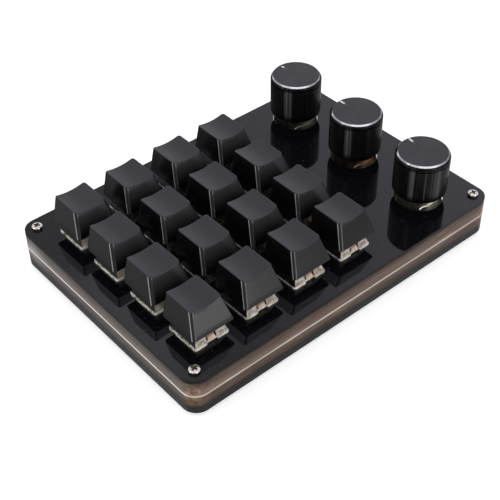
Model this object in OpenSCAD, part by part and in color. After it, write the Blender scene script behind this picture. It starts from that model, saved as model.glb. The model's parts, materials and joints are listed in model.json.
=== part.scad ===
// Macro keypad: sixteen mechanical keys and three push-turn knobs in a layered acrylic case.
// Millimetres. X runs right along the long side, Y runs back, Z runs up.
// The origin is under the middle of the case, on the surface that the feet stand on.

/* [Case] */
// Length of the case, left to right
case_l = 154; // [152:1:166]
// Width of the case, front to back
case_w = 110; // [109:1:120]
// Radius of the case's upright corners
corner_r = 6.2; // [4:0.1:7]
// Thickness of the top plate that carries the switches
top_t = 3; // [2:0.5:4]
// Height of the upper frame, under the top plate
upper_h = 4.3; // [4:0.1:6]
// Thickness of the pale light layer between the frames
light_t = 1; // [0.8:0.2:1.6]
// Height of the lower frame
lower_h = 5.1; // [5.1:0.1:7]
// Thickness of the base plate
base_t = 3; // [2.5:0.5:4]
// Width of the frames' walls
wall = 7; // [6.5:0.5:7]

/* [Fasteners and feet] */
// Distance from the case's sides to the screws
screw_inset = 5.3; // [5:0.1:5.5]
// Diameter of the case screws
screw_d = 2.5; // [2:0.1:2.6]
// Diameter of the screw heads
head_d = 4.6; // [4.4:0.1:5.4]
// Height of the screw heads
head_h = 1.7; // [1.2:0.1:2]
// Distance across the flats of the case nuts
nut_af = 5; // [4.5:0.1:5.5]
// Height of the case nuts
nut_h = 2; // [1.6:0.1:2]
// Diameter of the rubber feet
foot_d = 9; // [7:0.5:10]
// Height of the rubber feet
foot_h = 1.8; // [1:0.2:3]
// Distance from the case's sides to the middle of each foot
foot_inset = 16; // [13:1:18]

/* [Keys] */
// Distance from the left side to the first column of keys
left_margin = 18.6; // [18.4:0.1:19.6]
// Distance from the front side to the front row of keys, and to the front knob
front_margin = 19.5; // [18.4:0.1:19.6]
// Distance from the back side to the back row of keys
back_margin = 20.6; // [19.4:0.1:23]
// Width of a keycap at its skirt
cap_w = 18.4; // [17.8:0.1:18.6]
// Width of a keycap's top face
cap_top_w = 13.6; // [13:0.1:14.6]
// Depth of a keycap's top face, front to back
cap_top_d = 14.2; // [13:0.1:14.2]
// How far back the top face sits from the middle of the key
cap_lean = 2.1; // [0:0.1:2.1]
// Height of a keycap
cap_h = 9.9; // [9.2:0.1:11]
// Height of the skirt above the top plate with the key up
cap_lift = 6.6; // [6.5:0.1:7.4]
// Depth of the dish in the top face
dish_depth = 1; // [0.4:0.1:1.2]
// Travel of a key
key_travel = 4; // [3:0.1:4]

/* [Knobs] */
// Distance from the right side to the knobs' axes
knob_margin = 22.2; // [20:0.1:23]
// Distance from the back side to the back knob
knob_back_margin = 17; // [17:0.5:19]
// Diameter of a knob
knob_d = 22; // [20:0.5:24]
// Height of a knob
knob_h = 18; // [17:0.1:19.5]
// Gap between a knob and the top plate
knob_gap = 4.4; // [3.6:0.1:5]
// Diameter of the hole in the top plate round each encoder
encoder_hole_d = 19.6; // [18.6:0.1:19.8]
// How far a knob can be pushed down
push_travel = 0.5; // [0.3:0.1:0.5]

/* [Hidden] */
rows = 4;
cols = 4;
knob_names = ["front", "middle", "back"];
key_pitch = (case_w - front_margin - back_margin) / (rows - 1);
knob_pitch = (case_w - front_margin - knob_back_margin) / (len(knob_names) - 1);
round_fn = 64;
small_fn = 32;
hex_fn = 6;
// Overshoot of cutting shapes past the faces they cut
cut = 1;

// Heights of the layers, from the table up
base_z = foot_h;
lower_z = base_z + base_t;
light_z = lower_z + lower_h;
upper_z = light_z + light_t;
top_z = upper_z + upper_h;
deck_z = top_z + top_t;

// Clearances
fit_gap = 0.05;
part_gap = 0.2;
slide_gap = 0.08;
screw_hole_d = screw_d + 2 * part_gap;

// Switch: a 14 mm body that stands 5 mm under the deck, with a 15.6 mm flange on it
body_w = 13.9;
body_hole_w = body_w + 2 * fit_gap;
body_depth = 5;
flange_w = 15.6;
flange_t = 1;
flange_r = 1.2;
flange_notch_w = 4.8;
flange_notch_d = 0.9;
housing_h = 6.6;
housing_base_w = 14.6;
housing_taper = [0.74, 0.68];
switch_wall = 1.2;
roof_t = 1.2;
lamp_slot = [4.4, 1.5, 3];
clip_size = [2.4, 0.7, 1];
clip_x = 4.7;
peg_d = 4;
peg_l = 3.3;

// Stem: a wide skirt under the roof, a neck through it and a cross on top
skirt_w = [9, 7];
neck_w = [7, 5.3];
skirt_h = 3.8;
cross_w = 4;
cross_t = 1.25;
cross_h = 3.6;
guide_pin_d = 2;
guide_pin_l = 5.4;
guide_bore_d = guide_pin_d + 2 * slide_gap;
guide_tube_d = 3.2;
spring_od = 4.6;
spring_id = 3.7;
pocket_d = 5.2;
pocket_h = 1.4;
roof_z = housing_h - roof_t;
neck_top_z = housing_h - part_gap;
skirt_z = roof_z - skirt_h;
floor_z = -body_depth + switch_wall;
pocket_z = skirt_z + pocket_h;
guide_tube_top_z = pocket_z - key_travel - part_gap;

// Contacts: one leaf near the middle and one at the back wall
contact_w = 1;
contact_t = 0.4;
contact_near = [-3.81, 2.54];
contact_far = [2.54, 5.08];
contact_gap = 0.4;
contact_near_top_z = skirt_z - key_travel - contact_gap;
contact_far_top_z = contact_gap;

// Keycap
cap_r = 1.7;
cap_top_r = 1.7;
cap_wall = 1.4;
cap_top_wall = 2.2;
cap_roof = 1.5;
cap_slab = 0.4;
cap_fn = 32;
post_d = 5.1;
dish_r = (pow(cap_top_w / 2, 2) + pow(dish_depth, 2)) / (2 * dish_depth);
cap_roof_z = cap_lift + cap_h - dish_depth - cap_roof;

// Circuit board
pcb_t = 1.6;
pcb_gap = 0.5;
pcb_r = 2;
pcb_top = deck_z - body_depth;
pcb_z = pcb_top - pcb_t;
pin_hole_d = 1.5;
led_w = [3.4, 2.8];
led_t = 0.9;
led_y = -5.08;
diode_size = [1.6, 2.7, 1];
diode_at = [6.2, -6.4];
chip_w = 7;
chip_t = 1;
chip_from_knobs = 8.8;
regulator_size = [3, 1.6, 1.1];

// USB-C receptacle under the back edge of the board
usb_size = [8.94, 7.35, 3.16];
usb_wall = 0.3;
usb_r = 1.2;
usb_tongue = [6.7, 4.6, 0.7];
usb_x = 0;
usb_tab_w = 11;
usb_slot_w = usb_tab_w + 2 * part_gap;
usb_z = pcb_z - usb_size.z;

// Encoder: a boxed rotor on the board, a bushing and a D-shaft
enc_w = [11.7, 12];
enc_bracket_t = 2;
enc_top_z = 1.5;
enc_bracket_z = enc_top_z - enc_bracket_t;
enc_floor_t = 0.4;
enc_cavity_d = 9.8;
bushing_d = 7;
bushing_h = 7;
shaft_d = 6;
shaft_flat = 1.5;
shaft_l = 15;
shaft_bore_d = shaft_d + 2 * fit_gap;
shaft_top_z = enc_top_z + shaft_l;
shaft_end_z = -3.6;
bushing_gap = 0.3;
insert_recess_z = enc_top_z + bushing_h + push_travel + bushing_gap;
d_cut_z = insert_recess_z - part_gap;
key_cut_top_z = enc_bracket_z - 0.1;
rotor_d = 9.2;
rotor_z = -body_depth + enc_floor_t;
rotor_h = key_cut_top_z - push_travel - 0.1 - rotor_z;
enc_lug = [0.8, 2.2];
enc_lug_l = 2.4;
enc_pin_d = 0.9;
enc_pin_l = 3;
enc_pin_hole_d = 1.3;
enc_pins = [[-2.5, -4.8], [0, -4.8], [2.5, -4.8], [-2.5, 4.8], [2.5, 4.8]];

// Knob shell and its insert
shell_wall = 3;
shell_bore_d = knob_d - 2 * shell_wall;
shell_roof = 3.3;
shell_chamfer = 0.9;
shell_foot_chamfer = 0.4;
groove_w = 0.5;
groove_depth = 0.5;
groove_drop = 2.3;
mark_w = 1;
mark_l = 3.6;
mark_depth = 0.5;
// Where each knob's mark stands at rest, from +X
mark_angles = [78, 90, 92];
insert_lift = 0.9;
insert_clearance = 0.7;
insert_recess_d = bushing_d + 2 * insert_clearance;
knob_z = knob_gap;
knob_top_z = knob_z + knob_h;
insert_top_z = knob_top_z - shell_roof;

// Name of one key's node: row 1 is the back row and column 1 is the left one
function key_node(kind, r, c) = str(kind, "_r", r, "c", c);
function key_x(c) = -case_l / 2 + left_margin + (c - 1) * key_pitch;
function key_y(r) = -case_w / 2 + front_margin + (rows - r) * key_pitch;
function knob_x() = case_l / 2 - knob_margin;
function knob_y(k) = -case_w / 2 + front_margin + k * knob_pitch;
function chip_y() = (knob_y(0) + knob_y(1)) / 2;

// ---- Placing ----

module at_each_key(z = deck_z) {
    for (r = [1:rows]) for (c = [1:cols]) at_key(r, c, z) children();
}

module at_key(r, c, z = deck_z) {
    translate([key_x(c), key_y(r), z]) children();
}

module at_each_knob(z = deck_z) {
    for (k = [0:len(knob_names) - 1]) at_knob(k, z) children();
}

module at_knob(k, z = deck_z) {
    translate([knob_x(), knob_y(k), z]) children();
}

module at_corners(inset) {
    for (sx = [-1, 1]) for (sy = [-1, 1])
        translate([sx * (case_l / 2 - inset), sy * (case_w / 2 - inset)]) children();
}

// ---- Plain shapes ----

// A rectangle with true round corners
module rounded(l, w, r) {
    square([l - 2 * r, w], center = true);
    square([l, w - 2 * r], center = true);
    for (sx = [-1, 1]) for (sy = [-1, 1])
        translate([sx * (l / 2 - r), sy * (w / 2 - r)]) circle(r, $fn = round_fn);
}

module case_outline() {
    rounded(case_l, case_w, corner_r);
}

// A box standing on z = 0 over the middle of its base
module block(size) {
    translate([-size.x / 2, -size.y / 2, 0]) cube(size);
}

// The profile of a shaft with a flat
module d_profile(d, flat) {
    intersection() {
        circle(d = d, $fn = round_fn);
        translate([flat - d, -d / 2]) square([d, d]);
    }
}

// The walls of one frame layer, with its screw holes
module frame_ring(h) {
    linear_extrude(h) difference() {
        case_outline();
        rounded(case_l - 2 * wall, case_w - 2 * wall, corner_r / 2);
        at_corners(screw_inset) circle(d = screw_hole_d, $fn = small_fn);
    }
}

// The slot in the back wall for the board's tab and the USB port
module usb_slot() {
    translate([usb_x, case_w / 2 - wall / 2, usb_z - part_gap])
        block([usb_slot_w, wall + 2 * cut, pcb_top + 2 * part_gap - usb_z]);
}

// ---- Case ----

module top_plate() {
    color([0.05, 0.05, 0.06]) translate([0, 0, top_z]) linear_extrude(top_t) difference() {
        case_outline();
        at_each_key(0) square(body_hole_w, center = true);
        at_each_knob(0) circle(d = encoder_hole_d, $fn = round_fn);
        at_corners(screw_inset) circle(d = screw_hole_d, $fn = small_fn);
    }
}

module upper_frame() {
    color([0.3, 0.26, 0.24, 0.8]) difference() {
        translate([0, 0, upper_z]) frame_ring(upper_h);
        usb_slot();
    }
}

module light_layer() {
    color([0.86, 0.84, 0.78]) difference() {
        translate([0, 0, light_z]) frame_ring(light_t);
        usb_slot();
    }
}

module lower_frame() {
    color([0.3, 0.26, 0.24, 0.8]) difference() {
        translate([0, 0, lower_z]) frame_ring(lower_h);
        usb_slot();
    }
}

module base_plate() {
    color([0.06, 0.06, 0.07]) translate([0, 0, base_z]) difference() {
        linear_extrude(base_t) difference() {
            case_outline();
            at_corners(screw_inset) circle(d = screw_hole_d, $fn = small_fn);
        }
        at_corners(screw_inset) translate([0, 0, -cut])
            cylinder(h = nut_h + cut, d = nut_af / cos(30), $fn = hex_fn);
    }
}

module feet() {
    color([0.1, 0.1, 0.1]) at_corners(foot_inset)
        cylinder(h = foot_h, d1 = foot_d - foot_h / 2, d2 = foot_d, $fn = round_fn);
}

// A domed screw head with a cross recess, on z = 0
module screw_head() {
    dome_r = (pow(head_d / 2, 2) + pow(head_h, 2)) / (2 * head_h) + head_h / 2;
    recess = [head_d / 2, head_d / 8, head_h / 2];
    difference() {
        intersection() {
            cylinder(h = head_h, d = head_d, $fn = round_fn);
            translate([0, 0, head_h - dome_r]) sphere(dome_r, $fn = round_fn);
        }
        for (turn = [0, 90]) rotate(turn) translate([0, 0, head_h - recess.z])
            block([recess.x, recess.y, recess.z + cut]);
    }
}

module case_screws() {
    color("silver") at_corners(screw_inset) {
        translate([0, 0, deck_z]) screw_head();
        translate([0, 0, base_z + part_gap])
            cylinder(h = deck_z - base_z - part_gap, d = screw_d, $fn = small_fn);
    }
}

module case_nuts() {
    color("silver") at_corners(screw_inset) translate([0, 0, base_z]) difference() {
        cylinder(h = nut_h, d = nut_af / cos(30), $fn = hex_fn);
        translate([0, 0, -cut])
            cylinder(h = nut_h + 2 * cut, d = screw_d + fit_gap, $fn = small_fn);
    }
}

// ---- Electronics ----

module pcb_outline() {
    rounded(case_l - 2 * wall - 2 * pcb_gap, case_w - 2 * wall - 2 * pcb_gap, pcb_r);
    translate([usb_x, case_w / 2 - wall - part_gap / 2])
        square([usb_tab_w, 2 * wall - part_gap], center = true);
}

module pcb() {
    color([0.85, 0.85, 0.8]) translate([0, 0, pcb_z]) linear_extrude(pcb_t) difference() {
        pcb_outline();
        at_each_key(0) {
            circle(d = peg_d + 2 * fit_gap, $fn = small_fn);
            for (p = [contact_near, contact_far])
                translate(p) circle(d = pin_hole_d, $fn = small_fn);
            translate([0, led_y]) square(led_w, center = true);
        }
        at_each_knob(0) {
            for (p = enc_pins) translate(p) circle(d = enc_pin_hole_d, $fn = small_fn);
            for (s = [-1, 1]) translate([s * (enc_w.x + enc_lug.x) / 2, 0])
                square(enc_lug + 2 * [part_gap, part_gap], center = true);
        }
    }
}

// The controller, its regulator, and a light and a diode for each key, all under the board
module pcb_parts() {
    under = -body_depth - pcb_t;
    color([0.12, 0.12, 0.12]) {
        translate([knob_x() - chip_from_knobs, chip_y(), pcb_z - chip_t])
            block([chip_w, chip_w, chip_t]);
        translate([knob_x() - chip_from_knobs, chip_y() + 2 * chip_w, pcb_z - regulator_size.z])
            block(regulator_size);
        at_each_key() {
            translate([0, led_y, under - led_t]) block([led_w.x + 1, led_w.y + 0.6, led_t]);
            translate([diode_at.x, diode_at.y, under - diode_size.z]) block(diode_size);
        }
    }
}

module usb_port() {
    color("silver") translate([usb_x, case_w / 2, usb_z + usb_size.z / 2]) rotate([90, 0, 0]) {
        difference() {
            linear_extrude(usb_size.y) rounded(usb_size.x, usb_size.z, usb_r);
            translate([0, 0, -cut]) linear_extrude(usb_size.y - usb_wall + cut)
                rounded(usb_size.x - 2 * usb_wall, usb_size.z - 2 * usb_wall, usb_r - usb_wall);
        }
        translate([-usb_tongue.x / 2, -usb_tongue.z / 2, usb_size.y - usb_wall - usb_tongue.y])
            cube([usb_tongue.x, usb_tongue.z, usb_tongue.y]);
    }
}

// ---- Switches: z = 0 is the deck ----

module contact_slot(p) {
    translate([p.x, p.y, -body_depth - cut])
        block([contact_w, contact_t, switch_wall + 2 * cut]);
}

module switch_base() {
    difference() {
        union() {
            translate([0, 0, -body_depth]) block([body_w, body_w, body_depth]);
            linear_extrude(flange_t) rounded(flange_w, flange_w, flange_r);
            translate([0, 0, -body_depth - peg_l]) cylinder(h = peg_l, d = peg_d, $fn = small_fn);
        }
        translate([0, 0, floor_z])
            block([body_w - 2 * switch_wall, body_w - 2 * switch_wall, body_depth + cut]);
        for (s = [-1, 1]) translate([0, s * (flange_w / 2 - flange_notch_d / 2), 0])
            block([flange_notch_w, flange_notch_d + fit_gap, flange_t + cut]);
        translate([0, 0, floor_z - peg_l - part_gap])
            cylinder(h = peg_l + 2 * cut, d = guide_bore_d, $fn = small_fn);
        contact_slot(contact_near);
        contact_slot(contact_far);
    }
    difference() {
        translate([0, 0, floor_z])
            cylinder(h = guide_tube_top_z - floor_z, d = guide_tube_d, $fn = small_fn);
        translate([0, 0, floor_z - cut])
            cylinder(h = guide_tube_top_z - floor_z + 2 * cut, d = guide_bore_d, $fn = small_fn);
    }
}

module switch_bases() {
    color([0.85, 0.84, 0.78, 0.7]) at_each_key() switch_base();
}

// The upper housing: a tapered hood with four clips on the flange and a slot for the key's light
module switch_top() {
    difference() {
        union() {
            translate([0, 0, flange_t])
                linear_extrude(housing_h - flange_t, scale = housing_taper, slices = 1)
                    square(housing_base_w, center = true);
            for (sx = [-1, 1]) for (sy = [-1, 1])
                translate([sx * clip_x, sy * (flange_w / 2 - clip_size.y), flange_t])
                    block(clip_size);
        }
        translate([0, -(housing_base_w - lamp_slot.y) / 2, flange_t - fit_gap])
            block([lamp_slot.x, lamp_slot.y + fit_gap, lamp_slot.z]);
        block([skirt_w.x + 4 * part_gap, skirt_w.y + 4 * part_gap, roof_z]);
        block([neck_w.x + 2 * part_gap, neck_w.y + 2 * part_gap, housing_h + cut]);
    }
}

module switch_tops() {
    color([0.85, 0.84, 0.78, 0.7]) at_each_key() switch_top();
}

module switch_springs() {
    color("silver") at_each_key() translate([0, 0, floor_z]) difference() {
        cylinder(h = pocket_z - floor_z, d = spring_od, $fn = small_fn);
        translate([0, 0, -cut])
            cylinder(h = pocket_z - floor_z + 2 * cut, d = spring_id, $fn = small_fn);
    }
}

module contact(p, top) {
    bottom = -body_depth - peg_l;
    translate([p.x, p.y, bottom]) block([contact_w, contact_t, top - bottom]);
}

module switch_contacts() {
    color("gold") at_each_key() {
        contact(contact_near, contact_near_top_z);
        contact(contact_far, contact_far_top_z);
    }
}

module stem() {
    color([0.82, 0.8, 0.72]) {
        difference() {
            translate([0, 0, skirt_z]) block([skirt_w.x, skirt_w.y, skirt_h]);
            translate([0, 0, skirt_z - cut])
                cylinder(h = pocket_h + cut, d = pocket_d, $fn = small_fn);
        }
        translate([0, 0, pocket_z - guide_pin_l])
            cylinder(h = guide_pin_l, d = guide_pin_d, $fn = small_fn);
        translate([0, 0, roof_z]) block([neck_w.x, neck_w.y, neck_top_z - roof_z]);
        for (turn = [0, 90]) rotate(turn) translate([0, 0, neck_top_z])
            block([cross_w, cross_t, cross_h]);
    }
}

// One level of the keycap's outside
module cap_level(w, d, r) {
    linear_extrude(cap_slab) offset(r, $fn = cap_fn) square([w - 2 * r, d - 2 * r], center = true);
}

module keycap() {
    inner_w = cap_w - 2 * cap_wall;
    inner_top_w = cap_top_w - cap_top_wall;
    inner_top_d = cap_top_d - cap_top_wall;
    color([0.13, 0.13, 0.14]) {
        difference() {
            hull() {
                translate([0, 0, cap_lift]) cap_level(cap_w, cap_w, cap_r);
                translate([0, cap_lean, cap_lift + cap_h - cap_slab])
                    cap_level(cap_top_w, cap_top_d, cap_top_r);
            }
            hull() {
                translate([0, 0, cap_lift - cut]) block([inner_w, inner_w, cut]);
                translate([0, cap_lean, cap_roof_z - cap_slab])
                    block([inner_top_w, inner_top_d, cap_slab]);
            }
            translate([0, cap_w, cap_lift + cap_h - dish_depth + dish_r]) rotate([90, 0, 0])
                cylinder(h = 2 * cap_w, r = dish_r, $fn = 2 * round_fn);
        }
        difference() {
            translate([0, 0, neck_top_z])
                cylinder(h = cap_roof_z - neck_top_z + fit_gap, d = post_d, $fn = small_fn);
            for (turn = [0, 90]) rotate(turn) translate([0, 0, neck_top_z - cut])
                block([cross_w, cross_t + fit_gap, cross_h + cut + part_gap]);
        }
    }
}

// ---- Encoders and knobs: z = 0 is the deck ----

module encoder_case() {
    difference() {
        translate([0, 0, -body_depth])
            block([enc_w.x, enc_w.y, body_depth + enc_bracket_z]);
        translate([0, 0, rotor_z]) cylinder(h = body_depth, d = enc_cavity_d, $fn = round_fn);
    }
    for (s = [-1, 1])
        translate([s * (enc_w.x + enc_lug.x) / 2, 0, -body_depth - enc_lug_l])
            block([enc_lug.x, enc_lug.y, body_depth + enc_lug_l + enc_top_z]);
    for (p = enc_pins) translate([p.x, p.y, -body_depth - enc_pin_l])
        cylinder(h = enc_pin_l + enc_floor_t, d = enc_pin_d, $fn = small_fn);
    difference() {
        union() {
            translate([0, 0, enc_bracket_z]) block([enc_w.x, enc_w.y, enc_bracket_t]);
            translate([0, 0, enc_top_z]) cylinder(h = bushing_h, d = bushing_d, $fn = round_fn);
        }
        translate([0, 0, enc_bracket_z - cut])
            cylinder(h = enc_bracket_t + bushing_h + 2 * cut, d = shaft_bore_d, $fn = round_fn);
    }
}

module encoder_cases() {
    color([0.75, 0.74, 0.7]) at_each_knob() encoder_case();
}

module encoder_rotor() {
    color([0.2, 0.2, 0.2]) translate([0, 0, rotor_z]) linear_extrude(rotor_h) difference() {
        circle(d = rotor_d, $fn = round_fn);
        d_profile(shaft_bore_d, shaft_flat + fit_gap);
    }
}

module encoder_shaft() {
    color("silver") {
        translate([0, 0, shaft_end_z]) linear_extrude(key_cut_top_z - shaft_end_z)
            d_profile(shaft_d, shaft_flat);
        translate([0, 0, key_cut_top_z])
            cylinder(h = d_cut_z - key_cut_top_z, d = shaft_d, $fn = round_fn);
        translate([0, 0, d_cut_z]) linear_extrude(shaft_top_z - d_cut_z)
            d_profile(shaft_d, shaft_flat);
    }
}

module knob_insert() {
    bottom = knob_z + insert_lift;
    color([0.25, 0.25, 0.25]) difference() {
        translate([0, 0, bottom]) linear_extrude(insert_top_z - bottom)
            circle(d = shell_bore_d - 2 * fit_gap, $fn = round_fn);
        translate([0, 0, bottom - cut])
            cylinder(h = insert_recess_z - bottom + cut, d = insert_recess_d, $fn = round_fn);
        translate([0, 0, insert_recess_z - cut])
            linear_extrude(shaft_top_z + part_gap - insert_recess_z + cut)
                d_profile(shaft_bore_d, shaft_flat + fit_gap);
    }
}

// The shell's turned outline, from its foot to its rim
module shell_profile() {
    r = knob_d / 2;
    bore = shell_bore_d / 2;
    groove_z = knob_h - groove_drop;
    polygon([
        [bore, 0], [r - shell_foot_chamfer, 0], [r, shell_foot_chamfer],
        [r, groove_z - groove_w], [r - groove_depth, groove_z - groove_w],
        [r - groove_depth, groove_z], [r, groove_z],
        [r, knob_h - shell_chamfer], [r - shell_chamfer, knob_h], [0, knob_h],
        [0, knob_h - shell_roof], [bore, knob_h - shell_roof]
    ]);
}

module knob_shell(mark_angle) {
    color([0.1, 0.1, 0.11]) translate([0, 0, knob_z]) difference() {
        rotate_extrude($fn = 2 * round_fn) shell_profile();
        rotate(mark_angle) translate([knob_d / 2 - mark_l, -mark_w / 2, knob_h - mark_depth])
            cube([mark_l + cut, mark_w, mark_depth + cut]);
    }
}

// ---- Nodes ----

top_plate();
upper_frame();
light_layer();
lower_frame();
base_plate();
feet();
case_screws();
case_nuts();
pcb();
pcb_parts();
usb_port();
switch_bases();
switch_tops();
switch_springs();
switch_contacts();
encoder_cases();
for (r = [1:rows]) for (c = [1:cols]) {
    at_key(r, c) keycap();
    at_key(r, c) stem();
}
for (k = [0:len(knob_names) - 1]) {
    at_knob(k) knob_shell(mark_angles[k]);
    at_knob(k) knob_insert();
    at_knob(k) encoder_shaft();
    at_knob(k) encoder_rotor();
}
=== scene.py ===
"""Looks of the macro keypad: keycaps, switches, knobs and a layered acrylic case on a white floor.

Metres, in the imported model's frame. X runs right towards the knobs, Y runs back and Z runs up.
Sizes of new shapes are in millimetres.
"""

import json
import math

import bmesh
import bpy
from mathutils import Matrix, Vector


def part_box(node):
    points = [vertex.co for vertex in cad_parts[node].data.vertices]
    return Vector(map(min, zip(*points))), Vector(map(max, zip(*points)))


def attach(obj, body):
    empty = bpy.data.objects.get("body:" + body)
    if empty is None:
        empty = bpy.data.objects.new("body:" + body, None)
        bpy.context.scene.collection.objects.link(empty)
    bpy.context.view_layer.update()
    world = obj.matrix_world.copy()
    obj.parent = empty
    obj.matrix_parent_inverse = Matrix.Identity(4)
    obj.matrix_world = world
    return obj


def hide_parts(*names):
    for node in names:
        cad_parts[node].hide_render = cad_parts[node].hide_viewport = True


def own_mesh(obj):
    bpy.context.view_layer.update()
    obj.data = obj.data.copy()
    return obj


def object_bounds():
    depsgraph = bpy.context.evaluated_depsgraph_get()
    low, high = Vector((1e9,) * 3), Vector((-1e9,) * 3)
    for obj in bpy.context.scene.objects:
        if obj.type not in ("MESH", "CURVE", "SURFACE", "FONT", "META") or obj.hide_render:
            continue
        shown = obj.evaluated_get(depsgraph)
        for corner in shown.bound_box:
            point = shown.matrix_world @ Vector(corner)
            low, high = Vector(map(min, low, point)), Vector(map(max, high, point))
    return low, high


MM = 0.001
UP = Vector((0, 0, 1))
KEYS = [(r, c) for r in range(1, 5) for c in range(1, 5)]
KNOBS = ("front", "middle", "back")
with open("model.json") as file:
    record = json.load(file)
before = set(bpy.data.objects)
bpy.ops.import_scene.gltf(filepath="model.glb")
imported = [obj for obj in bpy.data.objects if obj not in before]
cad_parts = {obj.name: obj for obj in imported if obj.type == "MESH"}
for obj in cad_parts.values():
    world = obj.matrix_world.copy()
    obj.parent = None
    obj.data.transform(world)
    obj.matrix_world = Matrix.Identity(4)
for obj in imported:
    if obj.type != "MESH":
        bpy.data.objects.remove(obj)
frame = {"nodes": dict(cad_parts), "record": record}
cad_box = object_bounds()
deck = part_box("top_plate")[1].z
cap_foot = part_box("keycap_r1c1")[0].z - deck
KNOB_H = 18.0
MATERIALS = {}


# ---- Shader helpers ----


def shader(name, colour, rough, **values):
    """A new material: its nodes and its Principled shader, with constant values on the sockets."""
    mat = MATERIALS[name] = bpy.data.materials.new(name)
    mat.use_nodes = True
    bsdf = mat.node_tree.nodes["Principled BSDF"]
    bsdf.inputs["Base Color"].default_value = (*colour, 1)
    bsdf.inputs["Roughness"].default_value = rough
    for key, value in values.items():
        bsdf.inputs[key.replace("_", " ")].default_value = value
    return mat.node_tree, bsdf


def node(tree, kind, **values):
    """A new node: keys such as i0 set inputs by number, other keys set properties."""
    n = tree.nodes.new("ShaderNode" + kind)
    for key, value in values.items():
        if key[0] == "i" and key[1:].isdigit():
            n.inputs[int(key[1:])].default_value = value
        else:
            setattr(n, key, value)
    return n


def place(tree, scale=(1, 1, 1)):
    """Object coordinates in millimetres, stretched by scale."""
    coord = node(tree, "TexCoord")
    mapping = node(tree, "Mapping")
    mapping.inputs["Scale"].default_value = [s / MM for s in scale]
    tree.links.new(coord.outputs["Object"], mapping.inputs["Vector"])
    return mapping.outputs["Vector"]


def noise(tree, at, scale, detail=4.0, rough=0.6, socket="Vector"):
    """Noise over places, or along a single value if the socket is W."""
    n = node(tree, "TexNoise", noise_dimensions="3D" if socket == "Vector" else "1D")
    n.inputs["Scale"].default_value = scale
    n.inputs["Detail"].default_value = detail
    n.inputs["Roughness"].default_value = rough
    tree.links.new(at, n.inputs[socket])
    return n.outputs["Fac"]


def line_noise(tree, value, scale, detail, rough=0.6):
    return noise(tree, value, scale, detail, rough, "W")


def ramp(tree, fac, *stops):
    """A colour ramp of (position, grey or colour) stops."""
    n = node(tree, "ValToRGB")
    band = n.color_ramp
    while len(band.elements) < len(stops):
        band.elements.new(0.5)
    for element, (position, value) in zip(band.elements, stops):
        colour = value if hasattr(value, "__len__") else (value, value, value)
        element.position = position
        element.color = (*colour, 1)
    tree.links.new(fac, n.inputs["Fac"])
    return n.outputs["Color"]


def feed(tree, value, socket):
    """Links an output to the socket, or sets it to a number or a colour."""
    if hasattr(value, "is_linked"):
        tree.links.new(value, socket)
    else:
        socket.default_value = (*value, 1) if hasattr(value, "__len__") else value


def maths(tree, operation, *values):
    """A maths node on outputs or numbers."""
    n = node(tree, "Math", operation=operation)
    for value, socket in zip(values, n.inputs):
        feed(tree, value, socket)
    return n.outputs[0]


def times(tree, first, second):
    return maths(tree, "MULTIPLY", first, second)


def span(tree, fac, low, high, first=0.0, last=1.0):
    """Maps first..last to low..high."""
    n = node(tree, "MapRange", i1=first, i2=last, i3=low, i4=high)
    tree.links.new(fac, n.inputs["Value"])
    return n.outputs["Result"]


# Where the Mix node has its factor and its two colours, and the mixed colour
MIX_INPUTS, MIX_OUTPUT = (0, 6, 7), 2


def blend_colours(tree, fac, first, second, how="MIX"):
    n = node(tree, "Mix", data_type="RGBA", blend_type=how)
    for value, number in zip((fac, first, second), MIX_INPUTS):
        feed(tree, value, n.inputs[number])
    return n.outputs[MIX_OUTPUT]


def multiply(tree, first, second):
    return blend_colours(tree, 1, first, second, "MULTIPLY")


def axis(tree, name):
    """One object coordinate, in metres."""
    coord = node(tree, "TexCoord")
    parts = node(tree, "SeparateXYZ")
    tree.links.new(coord.outputs["Object"], parts.inputs[0])
    return parts.outputs[name]


def share(tree, name, first, last):
    """How far an object coordinate is from first to last, from 0 to 1."""
    return span(tree, axis(tree, name), 0, 1, first, last)


def paint(tree, bsdf, colour):
    tree.links.new(colour, bsdf.inputs["Base Color"])


def bump(tree, bsdf, height, strength, distance):
    n = node(tree, "Bump", i0=strength, i1=distance)
    tree.links.new(height, n.inputs["Height"])
    tree.links.new(n.outputs["Normal"], bsdf.inputs["Normal"])


def wear(tree, bsdf, vector, low, high, scale):
    """Roughness that drifts between low and high, as handled surfaces do."""
    drift = span(tree, noise(tree, vector, scale), low, high, 0.3, 0.7)
    tree.links.new(drift, bsdf.inputs["Roughness"])


def round_axis(tree):
    """Radius in millimetres, and angle in radians, round the object's own Z axis."""
    x, y = axis(tree, "X"), axis(tree, "Y")
    square = maths(tree, "ADD", times(tree, x, x), times(tree, y, y))
    return times(tree, maths(tree, "SQRT", square), 1 / MM), maths(tree, "ARCTAN2", y, x)


def turns_of(tree, angle):
    """An angle as a share of a full turn."""
    return span(tree, angle, 0, 1, -math.pi, math.pi)


# ---- Materials ----


def black_acrylic():
    """Polished black sheet with a little dust on it."""
    base = (0.0025, 0.0025, 0.0035)
    tree, bsdf = shader("black_acrylic", base, 0.05, IOR=1.49)
    at = place(tree)
    wear(tree, bsdf, at, 0.03, 0.07, 0.05)
    cells = node(tree, "TexVoronoi")
    cells.inputs["Scale"].default_value = 0.62
    tree.links.new(at, cells.inputs["Vector"])
    specks = ramp(tree, cells.outputs["Distance"], (0.0, 1.0), (0.05, 1.0), (0.09, 0.0))
    few = ramp(tree, noise(tree, at, 0.3, 2.0), (0.46, 0.0), (0.58, 0.9))
    haze = ramp(tree, noise(tree, at, 0.6, 6.0, 0.75), (0.45, 0.0), (0.75, 0.02))
    dust = maths(tree, "ADD", times(tree, specks, few), haze)
    paint(tree, bsdf, blend_colours(tree, dust, base, (0.22, 0.22, 0.24)))


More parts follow.
